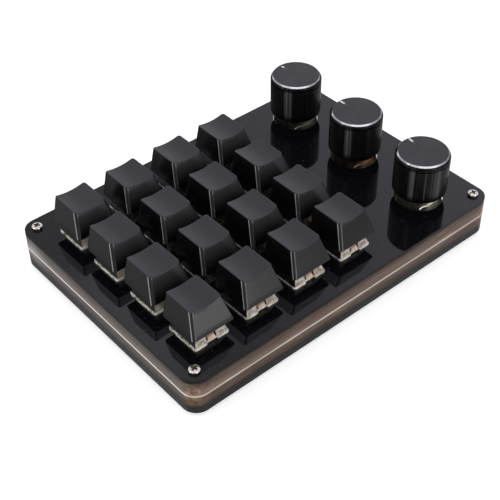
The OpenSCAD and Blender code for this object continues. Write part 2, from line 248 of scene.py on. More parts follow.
def left_edge(tree):
    """1 on the case's left side and 0 elsewhere: where the edges are painted paler, as painted
    light.
    """
    side = cad_box[0].x
    return span(tree, axis(tree, "X"), 1, 0, side + 0.0002, side + 0.0005)


def near_end(tree, name, end):
    """Rises over the last millimetres before the case's two sides, where its corners are round."""
    distance = maths(tree, "ABSOLUTE", axis(tree, name))
    return span(tree, distance, 0, 1, end - 0.0085, end - 0.0025)


def smoked_glow(tree):
    """Brown light in the sheets' edges: strongest by the pale layer, gone at the top and foot."""
    half_l, half_w, _ = cad_box[1]
    # All of this glow is painted light in the colour, scaled by height
    height = share(tree, "Z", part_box("base_plate")[0].z, deck)
    level = ramp(
        tree, height, (0.0, 0.02), (0.11, 0.07), (0.24, 0.27), (0.45, 0.6), (0.56, 0.95),
        (0.72, 0.66), (0.86, 0.4), (0.94, 0.08), (1.0, 0.02),
    )
    cloud = noise(tree, place(tree, (0.05, 0.05, 0.5)), 0.9, 6.0, 0.7)
    brown = ramp(
        tree, cloud, (0.32, (0.13, 0.062, 0.055)), (0.45, (0.14, 0.09, 0.075)),
        (0.55, (0.165, 0.12, 0.095)), (0.7, (0.25, 0.195, 0.17)),
    )
    # The left side is painted paler, as painted reflection, brightest towards its back end and in
    # painted streaks
    left = left_edge(tree)
    pale = ramp(
        tree, share(tree, "Y", -half_w, half_w),
        (0.0, (0.17, 0.148, 0.14)), (0.82, (0.18, 0.165, 0.16)), (0.97, (0.42, 0.42, 0.43)),
    )
    streaks = ramp(
        tree, noise(tree, place(tree, (0.02, 0.02, 1.2)), 1.0, 5.0, 0.7),
        (0.36, (0.72, 0.66, 0.64)), (0.5, (1.0, 0.97, 0.95)), (0.66, (1.25, 1.2, 1.18)),
    )
    side = blend_colours(tree, left, brown, multiply(tree, pale, streaks))
    # The round corners are painted with warmer amber light
    corner = times(tree, near_end(tree, "X", half_l), near_end(tree, "Y", half_w))
    amber = ramp(
        tree, noise(tree, place(tree), 0.45, 4.0, 0.7), (0.38, (0.14, 0.08, 0.06)),
        (0.47, (0.24, 0.135, 0.1)), (0.56, (0.24, 0.19, 0.13)), (0.66, (0.4, 0.33, 0.25)),
    )
    glow = multiply(tree, blend_colours(tree, corner, side, amber), level)
    # Below the glow the edges are dark, painted paler on the left side as painted reflection
    cool = blend_colours(tree, left, (0.022, 0.0215, 0.0235), (0.036, 0.035, 0.037))
    low = ramp(tree, height, (0.0, 1.0), (0.14, 1.0), (0.26, 0.0))
    return blend_colours(tree, low, glow, cool)


def smoked_acrylic(name):
    """Brown smoked sheet: long streaks of light through the edge, warmer at the round corners."""
    tree, bsdf = shader(name, (0.12, 0.1, 0.09), 0.18, IOR=1.49, Specular_IOR_Level=0.15)
    paint(tree, bsdf, smoked_glow(tree))
    level = place(tree, (0.1, 0.1, 1))
    wear(tree, bsdf, level, 0.16, 0.3, 0.5)
    bump(tree, bsdf, noise(tree, level, 2.0), 0.05, 0.00005)


def milky_acrylic():
    """The pale layer: bright in the middle of its edge, brown where the smoked sheets touch it, and
    painted paler on the left side as painted light.
    """
    base = (0.4, 0.37, 0.3)
    tree, bsdf = shader("milky_acrylic", base, 0.35, IOR=1.49, Specular_IOR_Level=0.3)
    patches = noise(tree, place(tree, (0.2, 0.2, 1)), 0.6)
    colour = ramp(tree, patches, (0.3, (0.36, 0.34, 0.27)), (0.7, (0.52, 0.5, 0.43)))
    bottom, top = (corner.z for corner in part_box("light_layer"))
    rim = ramp(
        tree, share(tree, "Z", bottom, top),
        (0.0, 0.0), (0.2, 0.6), (0.4, 1.0), (0.7, 1.0), (0.85, 0.6), (1.0, 0.2),
    )
    pale = blend_colours(tree, left_edge(tree), colour, (0.7, 0.66, 0.63))
    paint(tree, bsdf, blend_colours(tree, rim, (0.11, 0.09, 0.07), pale))


def cap_plastic():
    """Moulded black plastic: a matt dish and smoother sides, with a very fine grain, and painted
    light and shade on its faces.
    """
    tree, bsdf = shader("cap_plastic", (0.005, 0.0052, 0.0065), 0.3, IOR=1.5)
    at = place(tree)
    geometry = node(tree, "NewGeometry")
    facing = node(tree, "SeparateXYZ")
    tree.links.new(geometry.outputs["Normal"], facing.inputs[0])
    upward = span(tree, facing.outputs["Z"], 0.0, 0.14, 0.75, 0.95)
    drift = span(tree, noise(tree, at, 0.12), 0.17, 0.25, 0.3, 0.7)
    tree.links.new(maths(tree, "ADD", upward, drift), bsdf.inputs["Roughness"])
    bump(tree, bsdf, noise(tree, at, 7.0, 2.0), 0.1, 0.00003)
    # Painted light: fronts are painted greyer near the top, and the front row's are painted greyer
    # all over towards the left
    where = node(tree, "SeparateXYZ")
    tree.links.new(geometry.outputs["Position"], where.inputs[0])
    fronts = span(tree, facing.outputs["Y"], 1.0, 0.0, -0.85, -0.6)
    height = share(tree, "Z", 0.0035, 0.0125)
    upper = ramp(tree, height, (0.0, 0.0), (0.4, 0.03), (0.7, 0.35), (1.0, 1.0))
    first_row = span(tree, where.outputs["Y"], 1.0, 0.0, -0.035, -0.033)
    leftward = ramp(
        tree, span(tree, where.outputs["X"], 0, 1, -0.07, 0.01),
        (0.0, 1.0), (0.28, 0.9), (0.44, 0.38), (0.72, 0.1), (0.9, 0.0),
    )
    behind = times(tree, upper, span(tree, first_row, 0.45, 0.0))
    grey = maths(tree, "ADD", behind, times(tree, first_row, leftward))
    # Painted shade: the fronts' painted grey fades to black over their lowest millimetres
    foot = share(tree, "Z", cap_foot, cap_foot + 0.0026)
    lit = ramp(tree, foot, (0.0, 0.0), (0.35, 0.08), (0.8, 0.85), (1.0, 1.0))
    shade = times(tree, times(tree, grey, fronts), lit)
    # Painted light: upward faces are painted lighter than the sides
    level = span(tree, facing.outputs["Z"], 0, 1, 0.5, 0.85)
    black = blend_colours(tree, level, (0.0025, 0.0026, 0.003), (0.0145, 0.0148, 0.017))
    paint(tree, bsdf, blend_colours(tree, shade, black, (0.056, 0.055, 0.057)))


def mottled(name, colour, stops, scale, rough=0.28, **values):
    """A clear moulding: soft light and dark patches, and ripples in its surface."""
    tree, bsdf = shader(name, colour, rough, **values)
    at = place(tree)
    paint(tree, bsdf, ramp(tree, noise(tree, at, scale, 2.0, 0.4), *stops))
    bump(tree, bsdf, noise(tree, at, 0.8, 2.0, 0.4), 0.1, 0.00008)


def three_tones(name, low, middle, high, scale=0.6):
    mottled(name, middle, ((0.34, low), (0.5, middle), (0.66, high)), scale, IOR=1.5)


def plain(name, colour, rough, metallic=0.0, grain=3.0, depth=0.00003, spread=0.06, dark=0.75):
    """Colour and roughness that drift a little, over a fine grain."""
    tree, bsdf = shader(name, colour, rough, Metallic=metallic)
    at = place(tree)
    low = [c * dark for c in colour]
    paint(tree, bsdf, ramp(tree, noise(tree, at, 0.35), (0.3, low), (0.7, colour)))
    wear(tree, bsdf, at, max(rough - spread, 0.02), rough + spread, 0.4)
    bump(tree, bsdf, noise(tree, at, grain, 3.0), 0.1, depth)


def glowing(name, colour, strength, glow):
    """A pale surface with a little light of its own, as if caught in a clear edge."""
    shader(name, colour, 0.3, Emission_Strength=strength, Emission_Color=(*glow, 1))


def encoder_metal():
    """Moulded encoder case: cream at the front knob where light gets in, coppery behind it."""
    tree, bsdf = shader("encoder_metal", (0.5, 0.46, 0.34), 0.35, IOR=1.5)
    # Painted light: cream towards the front, coppery and then darker behind
    tone = ramp(
        tree, share(tree, "Y", -0.042, 0.034), (0.0, (0.95, 0.92, 0.8)),
        (0.15, (0.95, 0.9, 0.76)), (0.35, (0.55, 0.32, 0.2)), (0.6, (0.5, 0.3, 0.19)),
        (0.85, (0.3, 0.29, 0.22)),
    )
    cloud = noise(tree, place(tree), 0.22, 4.0, 0.65)
    patch = ramp(tree, cloud, (0.34, 0.3), (0.5, 0.8), (0.6, 1.0))
    # Painted shade: darker towards the left of each case
    sideways = ramp(tree, share(tree, "X", 0.0475, 0.061), (0.0, 0.04), (0.38, 0.15), (0.6, 1.0))
    paint(tree, bsdf, multiply(tree, multiply(tree, tone, patch), sideways))
    bump(tree, bsdf, noise(tree, place(tree), 1.2, 3.0), 0.15, 0.0001)


# Upright streaks of light round each knob, as (share of a turn, strength), and those at its back
KNOB_STREAKS = {
    "front": (
        (0.0, 0.05), (0.036, 0.05), (0.046, 0.45), (0.056, 1.0), (0.07, 1.0), (0.079, 0.06),
        (0.09, 0.12), (0.12, 0.02), (0.131, 0.05), (0.138, 0.6), (0.146, 0.06), (0.165, 0.1),
        (0.182, 0.25), (0.194, 0.55), (0.206, 0.5), (0.219, 1.0), (0.232, 0.4), (0.246, 0.12),
        (0.261, 0.1), (0.32, 0.1),
    ),
    "middle": (
        (0.0, 0.05), (0.054, 0.05), (0.066, 0.9), (0.074, 1.1), (0.08, 0.8), (0.088, 1.2),
        (0.096, 0.7), (0.104, 0.06), (0.18, 0.05), (0.2, 0.22), (0.24, 0.05), (0.28, 0.1),
        (0.31, 0.03),
    ),
    "back": (
        (0.0, 0.05), (0.05, 0.05), (0.062, 0.6), (0.071, 1.2), (0.078, 0.9), (0.083, 0.5),
        (0.094, 1.1), (0.101, 1.0), (0.108, 0.06), (0.18, 0.05), (0.2, 0.12), (0.24, 0.04),
        (0.28, 0.1), (0.31, 0.03),
    ),
}
BACK_STREAKS = (
    (0.45, 0.05), (0.46, 0.6), (0.475, 0.5), (0.485, 0.06), (0.62, 0.08), (0.64, 0.4),
    (0.67, 0.3), (0.69, 0.06), (0.83, 0.06), (0.85, 0.5), (0.87, 0.08), (1.0, 0.05),
)


def knob_side(name):
    """Black anodised aluminium, turned: upright streaks of light, with fine lines in them."""
    base = (0.02, 0.02, 0.022)
    tree, bsdf = shader("knob_side_" + name, base, 0.24, Specular_IOR_Level=0.12)
    angle = round_axis(tree)[1]
    broad = ramp(tree, turns_of(tree, angle), *KNOB_STREAKS[name], *BACK_STREAKS)
    lines = line_noise(tree, angle, 14.0, 5.0, 0.75)
    fine = ramp(tree, lines, (0.38, 0.25), (0.5, 0.6), (0.62, 1.0))
    height = ramp(
        tree, share(tree, "Z", 0, KNOB_H * MM), (0.0, 0.0), (0.1, 0.15), (0.2, 1.0), (0.83, 1.0),
        (0.87, 0.5), (0.9, 0.12), (1.0, 0.05),
    )
    # Painted highlights: the upright streaks with their fine lines, faded out at the foot and
    # towards the top
    light = multiply(tree, multiply(tree, broad, fine), height)
    paint(tree, bsdf, blend_colours(tree, light, (0.0012, 0.0012, 0.0014), (0.085, 0.083, 0.082)))
    rings = line_noise(tree, axis(tree, "Z"), 2500.0, 3.0)
    tree.links.new(span(tree, rings, 0.18, 0.32, 0.3, 0.7), bsdf.inputs["Roughness"])
    bump(tree, bsdf, rings, 0.05, 0.00001)


def knob_rim():
    """The bright cut rim, with darker and brighter stretches of painted reflection round it."""
    tree, bsdf = shader("knob_rim", (0.8, 0.8, 0.8), 0.16, Metallic=1.0)
    radius, angle = round_axis(tree)
    bright = ramp(
        tree, turns_of(tree, angle), (0.0, 0.35), (0.04, 0.5), (0.075, 1.0), (0.19, 1.0),
        (0.235, 0.5), (0.29, 0.22), (0.34, 0.45), (0.375, 1.0), (0.41, 0.8), (0.45, 0.15),
        (0.62, 0.3), (0.8, 0.15), (0.84, 0.8), (0.9, 1.0), (0.94, 0.4), (1.0, 0.35),
    )
    lines = line_noise(tree, angle, 1.6, 2.0, 0.5)
    tones = ramp(tree, lines, (0.34, (0.5, 0.5, 0.49)), (0.5, (0.95, 0.94, 0.92)))
    paint(tree, bsdf, multiply(tree, bright, tones))
    bump(tree, bsdf, line_noise(tree, radius, 8.0, 3.0), 0.2, 0.00002)


def knob_face():
    """The turned face: rings round the axis, with the two fans of light that they spread painted
    into its colour as painted highlights.
    """
    fan_angle = 0.35
    tree, bsdf = shader("knob_face", (0.012, 0.012, 0.014), 0.34, IOR=1.5)
    radius, angle = round_axis(tree)
    rings = line_noise(tree, radius, 3.0, 4.0, 0.75)
    bump(tree, bsdf, rings, 0.5, 0.00006)
    dark = ramp(tree, rings, (0.35, (0.004, 0.0038, 0.0045)), (0.65, (0.014, 0.0125, 0.016)))
    light = ramp(tree, rings, (0.35, (0.014, 0.0125, 0.015)), (0.65, (0.034, 0.031, 0.037)))
    # Two fans of painted highlight across the rings
    doubled = times(tree, maths(tree, "SUBTRACT", angle, fan_angle), 2.0)
    fan = span(tree, maths(tree, "COSINE", doubled), 0, 0.4, 0.3, 1.0)
    paint(tree, bsdf, blend_colours(tree, fan, dark, light))


black_acrylic()
smoked_acrylic("acrylic_edge")
smoked_acrylic("smoked_acrylic")
milky_acrylic()
cap_plastic()
# A painted highlight, painted dark and soft lines for the keycaps' front left corners, and painted
# shade for the crease under their front edges
plain("cap_painted_highlight", (0.28, 0.28, 0.287), 0.3, dark=0.6)
plain("cap_painted_soft_line", (0.03, 0.03, 0.031), 0.3, dark=0.6)
plain("cap_painted_crease_shade", (0.01, 0.01, 0.011), 0.6, dark=0.5)
plain("cap_painted_dark_line", (0.003, 0.003, 0.003), 0.6, dark=0.5)
milky_stops = (
    (0.3, (0.48, 0.45, 0.36)), (0.42, (0.66, 0.62, 0.52)),
    (0.55, (0.82, 0.79, 0.7)), (0.66, (0.9, 0.88, 0.81)),
)
mottled(
    "milky_housing", (0.7, 0.67, 0.58), milky_stops, 0.45, 0.25,
    IOR=1.58, Subsurface_Weight=0.15, Subsurface_Scale=0.0006,
)
three_tones("warm_housing", (0.27, 0.23, 0.17), (0.39, 0.35, 0.3), (0.54, 0.5, 0.44))
# Copies of the housing painted dark, as painted shade under the caps, and a painted highlight for
# the flanges' left edges
three_tones("housing_painted_deep_shade", (0.004, 0.004, 0.003), (0.009, 0.008, 0.0065), (0.02, 0.018, 0.015))
three_tones("shaded_housing", (0.025, 0.021, 0.017), (0.06, 0.052, 0.042), (0.13, 0.115, 0.095))
three_tones("glint", (0.12, 0.11, 0.08), (0.6, 0.58, 0.5), (0.95, 0.95, 0.9), 0.9)
plain("rosy_housing", (0.85, 0.62, 0.5), 0.3, depth=0.00008, dark=0.5)
plain("rubber", (0.02, 0.02, 0.02), 0.7, grain=2.0)
plain("nickel", (0.84, 0.79, 0.68), 0.1, 1.0, spread=0.03)
# Darker nickel painted on the screws' recesses and lower edges, as painted shade
plain("nickel_painted_recess_shade", (0.06, 0.052, 0.038), 0.4)
plain("nickel_painted_brim_shade", (0.3, 0.27, 0.22), 0.25, 1.0, dark=0.3)
plain("board", (0.5, 0.48, 0.38), 0.35)
plain("solder", (0.75, 0.74, 0.7), 0.2, 1.0, grain=1.0, depth=0.0001)
plain("chip_black", (0.02, 0.02, 0.02), 0.55)
plain("steel", (0.6, 0.6, 0.6), 0.25, 1.0)
plain("contact_brass", (0.75, 0.55, 0.25), 0.25, 1.0)
encoder_metal()
plain("hole_wall", (0.3, 0.29, 0.26), 0.25, depth=0.00005, dark=0.5)
# Painted light in the encoder holes: the bead glows at the front knob and is painted copper and
# olive at the others, and the hole glints glow as painted highlights
glowing("bead_front", (0.95, 0.93, 0.84), 0.3, (1, 0.98, 0.88))
plain("bead_middle", (0.6, 0.42, 0.28), 0.3)
plain("bead_back", (0.6, 0.58, 0.46), 0.3)
glowing("hole_glint", (0.95, 0.94, 0.88), 0.55, (1, 0.98, 0.9))
plain("stem_plastic", (0.66, 0.62, 0.5), 0.4)
plain("insert_plastic", (0.015, 0.015, 0.015), 0.5)
plain("shaft_metal", (0.6, 0.6, 0.6), 0.25, 1.0)
plain("rotor_plastic", (0.03, 0.025, 0.02), 0.5)
for name in KNOBS:
    knob_side(name)
knob_face()
knob_rim()
plain("knob_mark", (0.75, 0.75, 0.75), 0.4, dark=0.9)


# ---- Pieces and their meshes ----


def linked(name, data):
    """A new object in the scene."""
    obj = bpy.data.objects.new(name, data)
    bpy.context.scene.collection.objects.link(obj)
    return obj


def piece(name, mesh, body, replaces, at=(0, 0, 0)):
    """An object for the mesh, which rides on a body and stands for the CAD nodes named."""
    obj = linked(name, mesh)
    obj.location = at
    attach(obj, body)
    if replaces:
        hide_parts(*replaces)
    return obj


def body_of(name):
    bodies = frame["record"]["behaviour"]["bodies"]
    return next(b for b, nodes in bodies.items() if name in nodes)


def slot_of(name):
    return next(s["material_slot"] for s in frame["record"]["subparts"] if s["node"] == name)


def middle_of(name):
    """The middle of a node's box, at the deck's height."""
    low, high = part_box(name)
    return Vector(((low.x + high.x) / 2, (low.y + high.y) / 2, deck))


HOLES = {name: middle_of("knob_shell_" + name) for name in KNOBS}


def at_key(r, c):
    return middle_of(f"stem_r{r}c{c}")


COLUMNS = [at_key(1, c).x for c in range(1, 5)]
ROWS = [at_key(r, 1).y for r in range(1, 5)]


def at_each_key(name, mesh):
    """The same still piece on every switch."""
    return [piece(f"{name}_r{r}c{c}", mesh, "case", (), at_key(r, c)) for r, c in KEYS]


def mesh_from(bm, name, materials, sharp=None):
    """The finished mesh, smooth except at edges sharper than that many degrees."""
    bmesh.ops.recalc_face_normals(bm, faces=bm.faces)
    for face in bm.faces:
        face.smooth = True
    mesh = bpy.data.meshes.new(name)
    bm.to_mesh(mesh)
    bm.free()
    for key in materials:
        mesh.materials.append(MATERIALS[key])
    if sharp:
        mesh.set_sharp_from_angle(angle=math.radians(sharp))
    return mesh


def soften(obj, width, segments=2):
    """Rounds the sharp edges and shades the curved faces smoothly."""
    bevel = obj.modifiers.new("edges", "BEVEL")
    bevel.width = width * MM
    bevel.segments = segments
    bevel.limit_method = "ANGLE"
    bevel.angle_limit = math.radians(30)
    bevel.use_clamp_overlap = True
    normals = obj.modifiers.new("normals", "WEIGHTED_NORMAL")
    normals.keep_sharp = True
    for polygon in obj.data.polygons:
        polygon.use_smooth = True


def dressed(name, materials, width, segments=2, pick=None, cuts=()):
    """A copy of a CAD node's mesh with rounded edges. pick gives a face's material number, and cuts
    are planes, each a point and a normal, which part the large faces for it."""
    mesh = frame["nodes"][name].data.copy()
    mesh.materials.clear()
    for key in materials:
        mesh.materials.append(MATERIALS[key])
    bm = bmesh.new()
    bm.from_mesh(mesh)
    bmesh.ops.remove_doubles(bm, verts=bm.verts, dist=1e-6)
    flat = math.radians(0.5)
    bmesh.ops.dissolve_limit(bm, angle_limit=flat, verts=bm.verts, edges=bm.edges)
    for point, normal in cuts:
        everything = bm.verts[:] + bm.edges[:] + bm.faces[:]
        bmesh.ops.bisect_plane(bm, geom=everything, plane_co=point, plane_no=normal, dist=1e-7)
    bm.normal_update()
    for face in bm.faces:
        face.material_index = pick(face) if pick else 0
    bm.to_mesh(mesh)
    bm.free()
    obj = piece(name + "_visual", mesh, body_of(name), (name,))
    soften(obj, width, segments)


def vert(bm, x, y, z):
    """A new vertex, from millimetres."""
    return bm.verts.new(Vector((x, y, z)) * MM)


def turn_steps(steps):
    """The angles of a full turn in so many steps."""
    return [2 * math.pi * i / steps for i in range(steps)]


def stitch(bm, low, high, tag=0):
    """Faces between two closed rings of as many vertices."""
    for i in range(len(low)):
        j = (i + 1) % len(low)
        bm.faces.new((low[i], low[j], high[j], high[i])).material_index = tag


def rod(bm, rings, tag=0):
    """A closed body through rings of vertices."""
    for low, high in zip(rings, rings[1:]):
        stitch(bm, low, high, tag)
    for end in (rings[0], rings[-1]):
        bm.faces.new(end).material_index = tag


def box_into(bm, low, high, tag=0):
    """A closed block between two corners, in millimetres."""
    v = [
        vert(bm, x, y, z)
        for z in (low[2], high[2]) for y in (low[1], high[1]) for x in (low[0], high[0])
    ]
    sides = ((0, 2, 3, 1), (4, 5, 7, 6), (0, 1, 5, 4), (2, 6, 7, 3), (0, 4, 6, 2), (1, 3, 7, 5))
    for a, b, c, d in sides:
        bm.faces.new((v[a], v[b], v[c], v[d])).material_index = tag


# ---- Keycaps ----

CAP_TOP = (13.6, 14.2)
CAP_LEAN = 2.1
CAP_R = 1.25
CAP_DISH = 1.0
CAP_WALL = 1.4
CAP_INSIDE = (11.4, 12.0)
CAP_INSIDE_R = 0.8
CAP_ROOF = 1.5
EDGE_R = 0.45
POST_R = 2.55
POST_Z = 6.4
SOCKET_DEPTH = 3.8
SOCKET = (2.02, 0.65)
ARC = 8
# Where a ring has vertices along each side, as shares of it
ENDS = (0.012, 0.988)
ACROSS = (0.012, 0.125, 0.25, 0.375, 0.5, 0.625, 0.75, 0.875, 0.988)
CAP_LOOKS = ("cap_plastic", "cap_painted_highlight", "cap_painted_dark_line", "cap_painted_soft_line", "cap_painted_crease_shade")
# Painted highlight and painted dark lines down the front left corner, as (number along the ring,
# material)
CAP_STRIPES = ((40, 1), (41, 1), (42, 2), (43, 2), (44, 2), (45, 2), (46, 3), (47, 3))
# A line of painted shade under the front edge of the top, from the left corner to the middle
CAP_CREASE = ((48, 4), (49, 4), (50, 4), (51, 4), (52, 4))


def cap_ring(w, d, r, cy):
    """(x, y, outward x, outward y) round a rounded rectangle, from the front right corner."""
    arcs = []
    for sx, sy, start in ((1, -1, -90), (1, 1, 0), (-1, 1, 90), (-1, -1, 180)):
        x, y = sx * (w / 2 - r), cy + sy * (d / 2 - r)
        angles = [math.radians(start + 90 * i / ARC) for i in range(ARC + 1)]
        arcs.append([
            (x + r * math.cos(a), y + r * math.sin(a), math.cos(a), math.sin(a)) for a in angles
        ])
    ring = []
    for k, shares in enumerate((ENDS, ACROSS, ENDS, ACROSS)):
        ring += arcs[k]
        x0, y0, nx, ny = arcs[k][-1]
        x1, y1 = arcs[(k + 1) % 4][0][:2]
        ring += [(x0 + (x1 - x0) * s, y0 + (y1 - y0) * s, nx, ny) for s in shares]
    return ring


def cap_top(bm, top):
    """Strips across the dish, between the ring's front and back."""
    n, e, a = ARC + 1, len(ENDS), len(ACROSS)
    right = top[n : n + e]
    back = list(reversed(top[n + e : 3 * n + e + a]))
    left = top[3 * n + e + a : 3 * n + 2 * e + a]
    front = top[3 * n + 2 * e + a :] + top[:n]
    last = len(front) - 2
    for i in range(last + 1):
        loop = [front[i], front[i + 1]] + (right if i == last else []) + [back[i + 1], back[i]]
        bm.faces.new(loop + (left if i == 0 else []))


def cap_post(bm, roof_z):
    """The post: a tube round a cross that takes the stem."""
    w, t = SOCKET
    outer = [(POST_R * math.cos(a), POST_R * math.sin(a)) for a in turn_steps(32)]
    cross = (
        (w, -t), (w, t), (t, t), (t, w), (-t, w), (-t, t),
        (-w, t), (-w, -t), (-t, -t), (-t, -w), (t, -w), (t, -t),
    )
    lower = []
    for outline, top_z in ((outer, roof_z), (cross, POST_Z + SOCKET_DEPTH)):
        bottom = [vert(bm, x, y, POST_Z) for x, y in outline]
        upper = [vert(bm, x, y, top_z) for x, y in outline]
        stitch(bm, bottom, upper)
        lower += [bm.edges.get(pair) for pair in zip(bottom, bottom[1:] + bottom[:1])]
        if outline is cross:
            bm.faces.new(upper)
    bmesh.ops.triangle_fill(bm, edges=lower, use_beauty=True)


def keycap_mesh():
    """A sculpted keycap over z = 0 at the deck: leaning top, dish, rounded rim, hollow inside."""
    low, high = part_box("keycap_r1c1")
    skirt = (high.x - low.x) / MM
    z0, z1 = (low.z - deck) / MM, (high.z - deck) / MM
    height = z1 - z0
    bowl = (CAP_TOP[0] ** 2 / 4 + CAP_DISH**2) / (2 * CAP_DISH)
    foot = cap_ring(skirt, skirt, CAP_R, 0)
    head = cap_ring(*CAP_TOP, CAP_R, CAP_LEAN)

    def dish(x):
        return max(math.sqrt(max(bowl**2 - x**2, 0)) - (bowl - CAP_DISH), 0)

    def wall(i, t, inset=0.0):
        x = foot[i][0] + (head[i][0] - foot[i][0]) * t - foot[i][2] * inset
        y = foot[i][1] + (head[i][1] - foot[i][1]) * t - foot[i][3] * inset
        return x, y

    rims = []
    for i, (x, y, nx, ny) in enumerate(foot):
        slope = math.atan(((x - head[i][0]) * nx + (y - head[i][1]) * ny) / height)
        t = 1.0
        # Each round brings t closer to where the rim's arc leaves the wall
        for _ in range(6):
            t = (z1 - dish(wall(i, t)[0]) - EDGE_R * (1 - math.sin(slope)) - z0) / height
        rims.append((t, slope))

    bm = bmesh.new()

    def level(point):
        return [vert(bm, *point(i)) for i in range(len(foot))]

    def side(share_up, drop=0.0):
        def point(i):
            t = rims[i][0] * share_up - drop
            return (*wall(i, t), z0 + height * t)

        return level(point)

    def rim(turn, extra=0.0):
        def point(i):
            t, slope = rims[i]
            phi = slope + (math.pi / 2 - slope) * turn
            x, y = wall(i, t, EDGE_R * (math.cos(slope) - math.cos(phi)) + extra)
            return x, y, z1 - dish(x) - EDGE_R * (1 - math.sin(phi))

        return level(point)

    # Rings from the roof inside down to the foot, round it and up the outside to the dish
    inside = skirt - 2 * CAP_WALL
    inner = cap_ring(inside, inside, CAP_INSIDE_R, 0)
    roof = cap_ring(*CAP_INSIDE, CAP_INSIDE_R, CAP_LEAN)
    roof_z = z1 - CAP_DISH - CAP_ROOF
    rings = [
        level(lambda i: (*roof[i][:2], roof_z)),
        level(lambda i: (*inner[i][:2], z0)),
        level(lambda i: (*wall(i, 0, 0.15), z0)),
        level(lambda i: (*wall(i, 0.015), z0 + 0.015 * height)),
        side(0.04),
        side(0.5),
        side(1, 0.04),
        side(1, 0.006),
    ]
    rings += [rim(k / 5) for k in range(6)] + [rim(1, 0.06)]
    # The bands between rings which have the painted lines, and the one which has the painted crease
    # shade
    striped, creased = range(3, 8), 6
    for k, (low_ring, high_ring) in enumerate(zip(rings, rings[1:])):
        stitch(bm, low_ring, high_ring)
        tagged = (CAP_STRIPES if k in striped else ()) + (CAP_CREASE if k == creased else ())
        for first, tag in tagged:
            edge = bm.edges.get((low_ring[first], low_ring[first + 1]))
            face = next(f for f in edge.link_faces if high_ring[first] in f.verts)
            face.material_index = tag
    bm.faces.new(rings[0])
    cap_top(bm, rings[-1])
    cap_post(bm, roof_z)
    return mesh_from(bm, "keycap_shape", CAP_LOOKS, 50)


def keycaps():
    shape = keycap_mesh()
    for r, c in KEYS:
        name, body = f"keycap_r{r}c{c}", f"key_r{r}c{c}"
        piece(name + "_visual", shape, body, (name,), at_key(r, c))


# ---- Switches ----

# From a switch's middle to the line where its flange is cut, and to its front and left edges
FLANGE_CUT = 7.32
FLANGE_FRONT = 6.3
FLANGE_LEFT = 7.6
FIRST_FLANGE_LEFT = 7.35


def switch_lamps():
    """The rosy key light in every switch's slot, over its leads: one mesh for all keys."""
    bm = bmesh.new()
    box_into(bm, (-1.5, -7.1, 1.05), (1.5, -5.85, 2.5))
    box_into(bm, (-1.75, -7.25, 1.02), (1.75, -6.9, 1.5))
    shape = mesh_from(bm, "switch_lamp_shape", ("rosy_housing",))
    for obj in at_each_key("switch_lamp", shape):
        soften(obj, 0.15)


def switch_glints():
    """The lit lower edge of each flange's left side, thicker towards the front corner."""
    inner, outer, bottom, steps = -7.77, -7.84, 0.2, 14
    back, length, thin, more = 6.4, 13.1, 0.4, 0.3
    bm = bmesh.new()
    rings = []
    for t in [i / steps for i in range(steps + 1)]:
        y, top = back - length * t, bottom + (thin + more * t)
        corners = ((inner, bottom), (outer, bottom), (outer, top), (inner, top))
        rings.append([vert(bm, x, y, z) for x, z in corners])
    rod(bm, rings)
    shape = mesh_from(bm, "switch_glint_shape", ("glint",), 40)
    at_each_key("switch_glint", shape)


def switch_springs():
    """Coil springs with closed ends, one on every switch, each with its own mesh."""
    low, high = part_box("switch_springs")
    height, turns, wire, reach = high.z - low.z, 6, 0.22 * MM, 2.07 * MM
    flat_end, steps = 0.12, turns * 14
    for r, c in KEYS:
        bm = bmesh.new()
        rings = []
        for i in range(steps + 1):
            t, a = i / steps, 2 * math.pi * turns * i / steps
            rise = min(max((t - flat_end) / (1 - 2 * flat_end), 0), 1)
            out = Vector((math.cos(a), math.sin(a), 0))
            centre = out * reach + Vector((0, 0, wire + (height - 2 * wire) * rise))
            spokes = [math.cos(b) * out + math.sin(b) * UP for b in turn_steps(6)]
            rings.append([bm.verts.new(centre + wire * spoke) for spoke in spokes])
        rod(bm, rings)
        at = at_key(r, c)
        at.z = low.z
        name, slot = f"switch_spring_r{r}c{c}", slot_of("switch_springs")
        mesh = mesh_from(bm, name + "_shape", ("steel",))
        spring = piece(name, mesh, "case", ("switch_springs",), at)
        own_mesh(spring)


def switch_face(face):
    """0, the lit colour, on an outer housing's front, back and right side; 3, painted shade, on an
    inner one's; 2, a painted highlight, on a flange's left edge; 1, painted deep shade, elsewhere."""
    middle = face.calc_center_median()
    c = min(range(4), key=lambda k: abs(middle.x - COLUMNS[k]))
    r = min(range(4), key=lambda k: abs(middle.y - ROWS[k]))
    edge = FLANGE_LEFT if c or face.normal.x < -0.5 else FIRST_FLANGE_LEFT
    if middle.x - COLUMNS[c] < -edge * MM:
        return 2
    if face.normal.y < -0.5 or middle.y - ROWS[r] < -FLANGE_FRONT * MM:
        return 0 if c == 0 or r == 3 else 3
    if face.normal.y > 0.5:
        return 0 if r == 0 else 3
    if face.normal.x > 0.5:
        return 0 if c == 3 else 3
    return 1


def switch_housings():
    """The bases and hoods, whose flanges are cut where their lit edges begin."""
    cuts = [(Vector((0, y - FLANGE_CUT * MM, 0)), Vector((0, 1, 0))) for y in ROWS]
    cuts.append((Vector((COLUMNS[0] - FLANGE_CUT * MM, 0, 0)), Vector((1, 0, 0))))
    for name, front, width, planes in (
        ("switch_bases", "milky_housing", 0.15, cuts),
        ("switch_tops", "warm_housing", 0.2, ()),
    ):
        # The lit colour, then painted deep shade, a painted highlight and painted shade
        looks = (front, "housing_painted_deep_shade", "glint", "shaded_housing")
        dressed(name, looks, width, 2, switch_face, planes)


# ---- Turned pieces ----

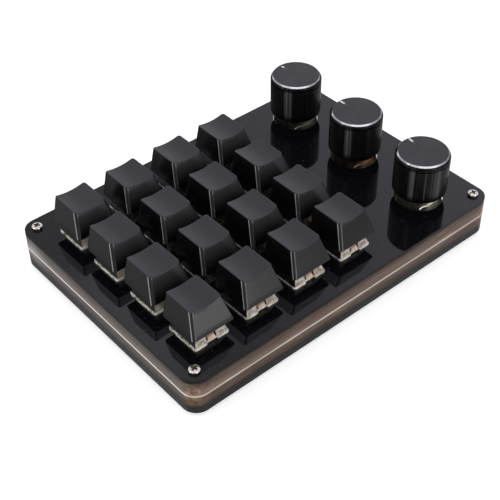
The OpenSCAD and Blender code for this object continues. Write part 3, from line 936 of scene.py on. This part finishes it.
KNOB_R = 11.0
HOLE_R = 9.8
KNOB_SEAT = 14.7
MARK_ANGLES = {"front": 78, "middle": 90, "back": 92}
MARK_SPANS = {"front": (9.7, 7.0), "middle": (9.8, 7.0), "back": (9.0, 7.4)}
MARK_HALF = 0.45
MARK_DEPTH = 0.12
SIDE, FACE, RIM, MARK = range(4)
# The shell's profile from the axis round to the axis: radius, height, corner radius and material
KNOB_PROFILE = (
    (0, KNOB_SEAT, 0, SIDE), (8, KNOB_SEAT, 0, SIDE), (8, 0.2, 0.12, SIDE), (8.3, 0, 0.08, SIDE),
    (KNOB_R - 0.45, 0, 0.2, SIDE), (KNOB_R, 0.75, 0.5, SIDE), (KNOB_R, 15.2, 0.08, SIDE),
    (10.5, 15.22, 0.04, SIDE), (10.5, 15.68, 0.04, SIDE), (KNOB_R, 15.7, 0.08, SIDE),
    (KNOB_R, 16.7, 0.5, SIDE), (10.42, 17.36, 0.06, RIM), (9.98, KNOB_H, 0.05, FACE),
    (9.6, KNOB_H, 0, FACE), (5, KNOB_H, 0, FACE), (0, KNOB_H, 0, FACE),
)


def turned_path(points, bends):
    """Rounds a profile's corners. points are (radius, z, corner radius, next band's material)."""
    path, tags = [], []
    for i, (r, z, bend, tag) in enumerate(points):
        here = Vector((r, z))
        if bend and 0 < i < len(points) - 1:
            before = (Vector(points[i - 1][:2]) - here).normalized()
            after = (Vector(points[i + 1][:2]) - here).normalized()
            first, last = here + before * bend, here + after * bend
            for k in range(bends + 1):
                t = k / bends
                p = first.lerp(here, t).lerp(here.lerp(last, t), t)
                path.append((p.x, p.y))
                tags.append(tag if k >= bends / 2 else points[i - 1][3])
        else:
            path.append((r, z))
            tags.append(tag)
    return path, tags


def lathe(path, tags, steps):
    """Turns a profile in millimetres round Z."""
    bm = bmesh.new()
    rings = []
    for r, z in path:
        if r < 1e-6:
            rings.append([bm.verts.new((0, 0, z * MM))])
            continue
        rings.append([
            bm.verts.new((r * math.cos(a) * MM, r * math.sin(a) * MM, z * MM))
            for a in turn_steps(steps)
        ])
    for k, (low, high) in enumerate(zip(rings, rings[1:])):
        for i in range(steps):
            j = (i + 1) % steps
            if len(low) == 1:
                corners = (low[0], high[j], high[i])
            elif len(high) == 1:
                corners = (low[i], low[j], high[0])
            else:
                corners = (low[i], low[j], high[j], high[i])
            bm.faces.new(corners).material_index = tags[k]
    return bm


def cut_mark(obj, name, looks):
    """Cuts the pointer's slot into a knob's face."""
    bm = bmesh.new()
    far, near = MARK_SPANS[name]
    bottom = KNOB_H - MARK_DEPTH
    box_into(bm, (near, -MARK_HALF, bottom), (far, MARK_HALF, KNOB_H + 1), MARK)
    bm.transform(Matrix.Rotation(math.radians(MARK_ANGLES[name]), 4, "Z"))
    cutter = linked("cutter", mesh_from(bm, "cutter", looks))
    cutter.location = obj.location
    cut = obj.modifiers.new("slot", "BOOLEAN")
    cut.object = cutter
    cut.solver = "EXACT"
    bpy.context.view_layer.update()
    evaluated = obj.evaluated_get(bpy.context.evaluated_depsgraph_get())
    done = bpy.data.meshes.new_from_object(evaluated)
    obj.modifiers.clear()
    bpy.data.objects.remove(cutter)
    obj.data = done


def knob_shells():
    """Turned shells with a groove, a bright cut rim, a ringed face and a slot for a pointer."""
    path, tags = turned_path(KNOB_PROFILE, 4)
    for name in KNOBS:
        node_name = "knob_shell_" + name
        looks = ("knob_side_" + name, "knob_face", "knob_rim", "knob_mark")
        mesh = mesh_from(lathe(path, tags, 192), node_name + "_shape", looks, 50)
        at = HOLES[name].copy()
        at.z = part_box(node_name)[0].z
        obj = piece(node_name + "_visual", mesh, "knob_" + name, (node_name,), at)
        cut_mark(obj, name, looks)


# Where each screw is and how far its recess is turned, in degrees
SCREWS = ((-1, -1, 20), (1, -1, 65), (-1, 1, 38), (1, 1, 10))
SCREW_CAD_R = 2.3
HEAD_R = 2.2
HEAD_H = 1.65
BRIM_H = 0.72
SHANK_R = 1.25
DOME_POWER = 2.5
RECESS_DEPTH = 0.75
# Half width and reach of the recess's arms, each with the width over which it fades
ARM_HALF = (0.42, 0.14)
ARM_REACH = (1.3, 0.22)
# The faces in the recess that are painted dark, as painted shade: half width, reach and height over
# the plate
DARK_HALF, DARK_REACH, DARK_H = 0.4, 1.25, 0.3
# How far over the brim the head's lower faces are painted darker, as painted shade
BRIM_FADE = 0.25


def screw_heads():
    """Domed heads with a cross recess, each turned its own way, and the threads' plain shanks."""
    low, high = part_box("case_screws")
    top = deck / MM
    steps, count = 96, 24
    shape = bmesh.new()

    def inside(distance, edge):
        return min(max((edge[0] - distance) / edge[1], 0), 1)

    def ring_at(cx, cy, radius, height):
        return [
            vert(shape, cx + radius * math.cos(a), cy + radius * math.sin(a), height(a))
            for a in turn_steps(steps)
        ]

    for sx, sy, degrees in SCREWS:
        cx = (high.x if sx > 0 else low.x) / MM - sx * SCREW_CAD_R
        cy = (high.y if sy > 0 else low.y) / MM - sy * SCREW_CAD_R
        turn = math.radians(degrees)

        def dome(radius, a):
            u, v = abs(radius * math.cos(a - turn)), abs(radius * math.sin(a - turn))
            arm = inside(min(u, v), ARM_HALF) * inside(max(u, v), ARM_REACH)
            bulge = max(1 - (radius / HEAD_R) ** DOME_POWER, 0) ** (1 / DOME_POWER)
            return top + BRIM_H + (HEAD_H - BRIM_H) * bulge - RECESS_DEPTH * arm

        made = len(shape.faces)
        centre = vert(shape, cx, cy, dome(0, 0))
        rings = []
        for i in range(1, count + 1):
            radius = HEAD_R * math.sin(math.pi / 2 * i / count)
            rings.append(ring_at(cx, cy, radius, lambda a: dome(radius, a)))
        for i in range(steps):
            shape.faces.new((centre, rings[0][i], rings[0][(i + 1) % steps])).material_index = 1
        for radius, z in ((HEAD_R, top), (SHANK_R, top), (SHANK_R, low.z / MM)):
            rings.append(ring_at(cx, cy, radius, lambda a: z))
        for inner, outer in zip(rings, rings[1:]):
            stitch(shape, inner, outer)
        shape.faces.new(rings[-1])
        shape.faces.ensure_lookup_table()
        for face in shape.faces[made:]:
            middle = face.calc_center_median() / MM
            x, y = middle.x - cx, middle.y - cy
            u = abs(x * math.cos(turn) + y * math.sin(turn))
            v = abs(y * math.cos(turn) - x * math.sin(turn))
            # Painted shade: the recess's faces and the head's lower edge take the darker nickels
            if middle.z > top + DARK_H and min(u, v) < DARK_HALF and max(u, v) < DARK_REACH:
                face.material_index = 1
            elif middle.z < top + BRIM_H + BRIM_FADE:
                face.material_index = 2
    mesh = mesh_from(shape, "case_screws_shape", ("nickel", "nickel_painted_recess_shade", "nickel_painted_brim_shade"), 35)
    piece("case_screws_visual", mesh, "case", ("case_screws",))


# ---- Details that show in the encoder holes ----

# Small parts beside each encoder, as x, y, width, depth and height
BOARD_PARTS = (
    (-4.2, -7.6, 1.6, 0.8, 0.5), (3.4, -7.4, 2.0, 1.2, 0.7),
    (7.4, -2.4, 0.9, 1.8, 0.5), (-7.5, 2.0, 0.8, 1.6, 0.5),
)
# Their soldered ends, from and to these shares of the half width
PART_ENDS = ((-1.25, -0.7), (0.7, 1.25))
# Lit stretches of each hole's edge, as middle and half width in degrees
GLINTS = {"front": ((319, 16),), "middle": ((319, 16),), "back": ((139, 15), (319, 15))}


def bead_point(t):
    """The middle of the solder bead, from its left end at 0 to its right end at 1."""
    drop = 0.25 + 1.7 * max(t - 0.35, 0)
    return Vector((-5.8 + 8.2 * t, -6.14, -drop + 0.25 * math.sin(9 * t)))


def board_details():
    """Solder joints and small parts on the board beside each encoder."""
    solder, chip, bead = range(3)
    top = (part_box("pcb")[1].z - deck) / MM
    steps = 20
    path = [bead_point(k / steps) for k in range(steps + 1)]
    for name in KNOBS:
        bm = bmesh.new()
        for x, y, w, d, h in BOARD_PARTS:
            half, deep = w / 2, d / 2
            box_into(bm, (x - half, y - deep, top), (x + half, y + deep, top + h), chip)
            y0, y1, z1 = y - deep * 1.1, y + deep * 1.1, top + h * 0.9
            for near, far in PART_ENDS:
                box_into(bm, (x + half * near, y0, top), (x + half * far, y1, z1), solder)
        # A bead of solder that wanders along the encoder's front edge, with painted light: it glows
        # at the front knob and is painted copper and olive at the others
        rings = []
        for i, p in enumerate(path):
            ahead = (path[min(i + 1, steps)] - path[max(i - 1, 0)]).normalized()
            across = ahead.cross(UP).normalized()
            up = across.cross(ahead)
            radius = 0.26 - 0.12 * i / steps
            spokes = [math.cos(a) * across + math.sin(a) * up for a in turn_steps(10)]
            rings.append([bm.verts.new((p + radius * spoke) * MM) for spoke in spokes])
        rod(bm, rings, bead)
        looks = ("solder", "chip_black", "bead_" + name)
        mesh = mesh_from(bm, f"board_details_{name}_shape", looks, 40)
        piece(f"board_details_{name}", mesh, "case", (), HOLES[name])


def hole_glints():
    """The lit stretches of each encoder hole's polished edge, left and right in the photo."""
    low, high, steps = -1.7, -0.12, 12
    outer = HOLE_R - 0.02
    for name, stretches in GLINTS.items():
        bm = bmesh.new()
        for centre, half in stretches:
            rings = []
            for k in range(steps + 1):
                a = math.radians(centre + half * (2 * k / steps - 1))
                thick = math.sin(math.pi * k / steps)
                inner = HOLE_R - 0.03 - 0.1 * thick
                bottom = high - (high - low) * max(thick, 0.1)
                corners = ((inner, bottom), (outer, bottom), (outer, high), (inner, high))
                rings.append([vert(bm, r * math.cos(a), r * math.sin(a), z) for r, z in corners])
            rod(bm, rings)
        mesh = mesh_from(bm, f"hole_glint_{name}_shape", ("hole_glint",), 40)
        piece(f"hole_glint_{name}", mesh, "case", (), HOLES[name])


# ---- Studio ----

FLOOR_HALF = 3.0


def mix_shaders(tree, fac, first, second):
    n = node(tree, "MixShader")
    for source, socket in zip((fac, first, second), n.inputs):
        tree.links.new(source, socket)
    return n.outputs[0]


def toward(tree, source, direction):
    """How nearly a ray runs in a direction, from -1 to 1."""
    n = node(tree, "VectorMath", operation="DOT_PRODUCT", i1=direction)
    tree.links.new(source, n.inputs[0])
    return n.outputs["Value"]


def sky():
    """White for the camera and a soft light, with a dark flag and a patch in the gloss alone."""
    world = bpy.data.worlds.new("studio")
    bpy.context.scene.world = world
    world.use_nodes = True
    tree = world.node_tree
    tree.nodes.clear()
    out = node(tree, "OutputWorld")
    rays = node(tree, "LightPath").outputs
    seen = maths(tree, "MAXIMUM", rays["Is Camera Ray"], rays["Is Transmission Ray"])
    white = (1, 1, 1, 1)
    light = node(tree, "Background", i0=white, i1=0.95)
    shown = node(tree, "Background", i0=white, i1=1.0)
    gloss = node(tree, "Background", i1=1.05)
    # The flag is high over the back left, and the patch is near its middle
    ray = node(tree, "TexCoord").outputs["Generated"]
    flagged = ramp(
        tree, span(tree, toward(tree, ray, (0.32, 0.602, 0.731)), 0, 1, 0.9, 1.0),
        (0.0, (0.83, 0.82, 0.93)), (0.5, (0.74, 0.73, 0.83)), (0.75, (0.6, 0.58, 0.65)),
        (0.92, (0.47, 0.45, 0.48)),
    )
    patch = span(tree, toward(tree, ray, (0.353, 0.6, 0.718)), 0.0, 1.0, 0.9965, 0.999)
    tree.links.new(blend_colours(tree, patch, flagged, (0.8, 0.79, 0.83)), gloss.inputs[0])
    mix = mix_shaders(tree, seen, light.outputs[0], shown.outputs[0])
    mix = mix_shaders(tree, rays["Is Glossy Ray"], mix, gloss.outputs[0])
    tree.links.new(mix, out.inputs["Surface"])


def sheet(name, corners, look):
    """A flat sheet in the studio."""
    mesh = bpy.data.meshes.new(name)
    mesh.from_pydata(corners, [], [(0, 1, 2, 3)])
    mesh.materials.append(MATERIALS[look])
    obj = linked(name, mesh)
    return obj


def floor_at(z):
    h = FLOOR_HALF
    return [(-h, -h, z), (h, -h, z), (h, h, z), (-h, h, z)]


def softbox(name, at, size, watts):
    """A soft rectangular lamp that looks at the object."""
    lamp = bpy.data.lights.new(name, "AREA")
    lamp.shape = "RECTANGLE"
    lamp.size, lamp.size_y = size
    lamp.energy = watts
    obj = linked(name, lamp)
    obj.location = at
    obj.rotation_mode = "QUATERNION"
    obj.rotation_quaternion = (-Vector(at)).to_track_quat("-Z", "Y")


def studio():
    """A white sky and floor, cards that only the gloss sees, and soft lamps."""
    sky()
    glow = {"Emission_Strength": 0.55, "Emission_Color": (1, 1, 1, 1)}
    shader("white_floor", (0.7, 0.7, 0.7), 0.9, **glow)
    sheet("floor", floor_at(0), "white_floor")

    # A greyer floor that only the gloss sees, darker to the front right and behind the case
    tree, bsdf = shader("gloss_floor", (0.5, 0.5, 0.5), 0.9)
    tone = ramp(
        tree, share(tree, "X", -0.3, 0.35), (0.0, 0.28), (0.31, 0.36), (0.49, 0.6),
        (0.58, 0.68), (0.72, 0.42), (1.0, 0.25),
    )
    beyond = times(tree, share(tree, "Y", 0.045, 0.065), share(tree, "X", -0.1, -0.085))
    paint(tree, bsdf, blend_colours(tree, beyond, tone, (0.07, 0.07, 0.075)))
    under = sheet("gloss_floor", floor_at(0.0004), "gloss_floor")
    under.visible_transmission = False

    # A dark card low behind the camera, which only the gloss sees
    half, bottom, top, distance = 0.42, 0.06, 0.75, 1.3
    away = Vector((-0.63, -0.776, 0))
    corners = [(-half, 0, bottom), (half, 0, bottom), (half, 0, top), (-half, 0, top)]
    shader("dark_card", (0.01, 0.01, 0.01), 0.9)
    card = sheet("dark_card", corners, "dark_card")
    card.location = away * distance
    card.rotation_euler = (0, 0, math.atan2(away.y, away.x) + math.pi / 2)
    for obj in (under, card):
        obj.visible_camera = obj.visible_diffuse = obj.visible_shadow = False

    softbox("front_light", (0.06, -1.06, 0.2), (0.36, 0.4), 2.0)
    softbox("left_light", (-1.0, 0.3, 0.3), (0.18, 0.5), 1.8)


def camera():
    """The photograph's own view, solved from the case's outline, the keys and the knobs."""
    data = bpy.data.cameras.new("camera")
    data.sensor_width = 36
    data.lens = 76.546
    data.clip_start, data.clip_end = 0.01, 20
    obj = linked("camera", data)
    right = Vector((0.7592340, -0.6506953, -0.0126271))
    down = Vector((-0.4421604, -0.5014838, -0.7436453))
    ahead = Vector((0.4775541, 0.5701839, -0.6684551))
    at = Vector((-211.676, -247.313, 289.972)) * MM
    turn = Matrix((right, -down, -ahead)).transposed()
    obj.matrix_world = Matrix.Translation(at) @ turn.to_4x4()
    bpy.context.scene.camera = obj


# ---- Build ----


def plate_face(face):
    """0 for a flat face, 1 for a cut edge and 2 for the wall of an encoder's hole."""
    if abs(face.normal.z) > 0.5:
        return 0
    middle = face.calc_center_median()
    nearest = min((middle.xy - hole.xy).length for hole in HOLES.values())
    return 2 if nearest < (HOLE_R + 0.7) * MM else 1


for name, looks, width in (
    ("upper_frame", ("smoked_acrylic",), 0.12),
    ("light_layer", ("milky_acrylic",), 0.1),
    ("lower_frame", ("smoked_acrylic",), 0.12),
    ("feet", ("rubber",), 0.3),
    ("usb_port", ("steel",), 0.08),
    ("encoder_cases", ("encoder_metal",), 0.15),
):
    dressed(name, looks, width)
for name in ("top_plate", "base_plate"):
    dressed(name, ("black_acrylic", "acrylic_edge", "hole_wall"), 0.15, 3, plate_face)
switch_housings()
keycaps()
switch_lamps()
switch_glints()
switch_springs()
knob_shells()
screw_heads()
board_details()
hole_glints()

for name, obj in frame["nodes"].items():
    if not obj.hide_render:
        obj.data.materials.clear()
        obj.data.materials.append(MATERIALS[slot_of(name)])

studio()
camera()
bpy.context.scene.view_settings.view_transform = "Standard"
